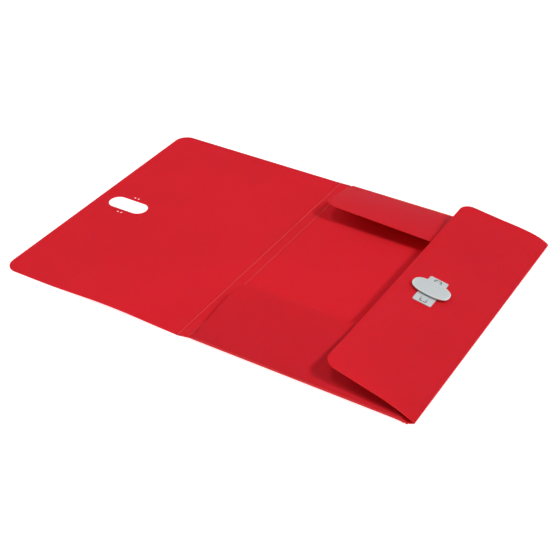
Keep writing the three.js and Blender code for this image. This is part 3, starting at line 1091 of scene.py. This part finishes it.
def make_button():
    """Oval cap with a soft dome and rounded rim, in one piece with its neck, post and snap head."""
    levels = [(inset, button_bottom + height) for inset, height in BUTTON_UNDER_EDGE]
    for k in range(BUTTON_EDGE_STEPS + 1):
        a = math.pi / 2 * k / BUTTON_EDGE_STEPS
        drop = BUTTON_EDGE * (1 - math.sin(a))
        levels.append((BUTTON_EDGE * (1 - math.cos(a)), button_top - BUTTON_DOME - drop))
    rings = [(BUTTON_LENGTH - 2 * inset, BUTTON_WIDTH - 2 * inset, z) for inset, z in levels]
    length, width = BUTTON_LENGTH - 2 * BUTTON_EDGE, BUTTON_WIDTH - 2 * BUTTON_EDGE
    for k in range(1, BUTTON_DOME_STEPS):
        share = 1 - k / BUTTON_DOME_STEPS
        rings.append((length * share, width * share, button_top - BUTTON_DOME * share * share))
    rows = [
        [Vector((p.x, p.y, z)) for p in superellipse(long, wide, BUTTON_BLUNTNESS)]
        for long, wide, z in rings
    ]
    cap = grid_shell("oval_turn_button", rows)
    neck_foot = plate_top + FACE_GAP
    neck_top = button_bottom + BUTTON_THICKNESS / 2
    shaft = turned("button_shaft", [
        (0, head_top - HEAD_HEIGHT), (HEAD_TIP_RADIUS, head_top - HEAD_HEIGHT),
        (HEAD_RADIUS, head_top - HEAD_RIM), (HEAD_RADIUS, head_top), (POST_RADIUS, head_top),
        (POST_RADIUS, neck_foot), (NECK_RADIUS, neck_foot), (NECK_RADIUS, neck_top), (0, neck_top),
    ])
    joined(cap, [shaft])

    # Painted highlight: the cap's colour turns paler towards its rim.
    def rim_shine(co):
        across = abs(co.x) / (BUTTON_LENGTH / 2)
        along = abs(co.y) / (BUTTON_WIDTH / 2)
        reach = (across ** BUTTON_BLUNTNESS + along ** BUTTON_BLUNTNESS) ** (1 / BUTTON_BLUNTNESS)
        return smoothstep((reach - RIM_SHINE_START) / RIM_SHINE_RAMP)

    tone(cap, "whitening_and_painted_highlight", rim_shine)
    cap.data.transform(closure_matrix())
    finish(cap, CLOSURE_MATERIAL, "turn_button", "turn_button")


# ---- Scene --------------------------------------------------------------------------------------


FLOOR_REACH = 40.0
FLOOR_GAP = 0.3 * MM
FLOOR_COLOUR = (0.4, 0.4, 0.4, 1)
FLOOR_GLOW = 0.85
LIGHT_DISTANCE = 3.0
WORLD_STRENGTH = 0.26
# Each light's direction from the folder, its diameter in metres, and its power in watts.
LIGHTS = {
    "key": ((0.915, -0.171, 1.0), 0.40, 41),
    "top": ((0.0, -0.28, 1.0), 0.45, 18),
    "fill": ((-1.2, 0.2, 0.8), 2.2, 21),
}
CAMERA_PLACE = (0.53021, -0.86854, 0.70795)
CAMERA_PITCH = math.radians(35.928)
CAMERA_YAW = math.radians(-31.34)
CAMERA_ROLL = math.radians(-0.3055)
LENS = 77.26
SENSOR_WIDTH = 36


def make_floor():
    """Plain white floor under the folder."""
    mesh = bpy.data.meshes.new("floor")
    corners = rectangle(-FLOOR_REACH, FLOOR_REACH, -FLOOR_REACH, FLOOR_REACH)
    mesh.from_pydata(corners, [], [(0, 1, 2, 3)])
    floor = bpy.data.objects.new("floor", mesh)
    floor.location.z = -FLOOR_GAP
    bpy.context.scene.collection.objects.link(floor)
    material = bpy.data.materials.new("floor_white")
    material.use_nodes = True
    shader = material.node_tree.nodes["Principled BSDF"]
    shader.inputs["Base Color"].default_value = FLOOR_COLOUR
    shader.inputs["Emission Color"].default_value = (1, 1, 1, 1)
    shader.inputs["Emission Strength"].default_value = FLOOR_GLOW
    shader.inputs["Roughness"].default_value = 0.9
    shader.inputs["Specular IOR Level"].default_value = 0.1
    mesh.materials.append(material)


def make_light(name, direction, size, power):
    """Round area light looking at the folder from a direction."""
    data = bpy.data.lights.new(name, "AREA")
    data.shape = "DISK"
    data.size = size
    data.energy = power
    light = bpy.data.objects.new(name, data)
    away = Vector(direction).normalized()
    light.location = away * LIGHT_DISTANCE
    light.rotation_mode = "QUATERNION"
    light.rotation_quaternion = away.to_track_quat("Z", "Y")
    bpy.context.scene.collection.objects.link(light)


def make_world(strength):
    """Even studio surround."""
    world = bpy.data.worlds.new("studio")
    world.use_nodes = True
    background = world.node_tree.nodes["Background"]
    background.inputs["Color"].default_value = (1, 1, 1, 1)
    background.inputs["Strength"].default_value = strength
    bpy.context.scene.world = world


def make_camera():
    """Camera at the photograph's viewing angle."""
    ahead = math.cos(CAMERA_PITCH)
    forward = Vector((
        math.sin(CAMERA_YAW) * ahead, math.cos(CAMERA_YAW) * ahead, -math.sin(CAMERA_PITCH),
    ))
    level = Vector((math.cos(CAMERA_YAW), -math.sin(CAMERA_YAW), 0))
    upright = level.cross(forward)
    right = level * math.cos(CAMERA_ROLL) + upright * math.sin(CAMERA_ROLL)
    up = upright * math.cos(CAMERA_ROLL) - level * math.sin(CAMERA_ROLL)
    data = bpy.data.cameras.new("camera")
    data.lens = LENS
    data.sensor_width = SENSOR_WIDTH
    data.clip_start, data.clip_end = 0.01, 50
    camera = bpy.data.objects.new("camera", data)
    basis = Matrix((right, up, -forward)).transposed().to_4x4()
    camera.matrix_world = Matrix.Translation(CAMERA_PLACE) @ basis
    bpy.context.scene.collection.objects.link(camera)
    bpy.context.scene.camera = camera


make_camera()
make_floor()
make_world(WORLD_STRENGTH)
for light_name, (toward, diameter, watts) in LIGHTS.items():
    make_light(light_name, toward, diameter, watts)
bpy.context.scene.view_settings.view_transform = "Standard"

make_base()
make_spine()
make_cover()
make_gusset()
make_closing_flap()
for flap_side in ("bottom", "top"):
    make_side_flap(flap_side)
    make_side_crease(flap_side)
make_flat_creases()
make_closing_crease()
make_plates()
make_washer()
make_button()
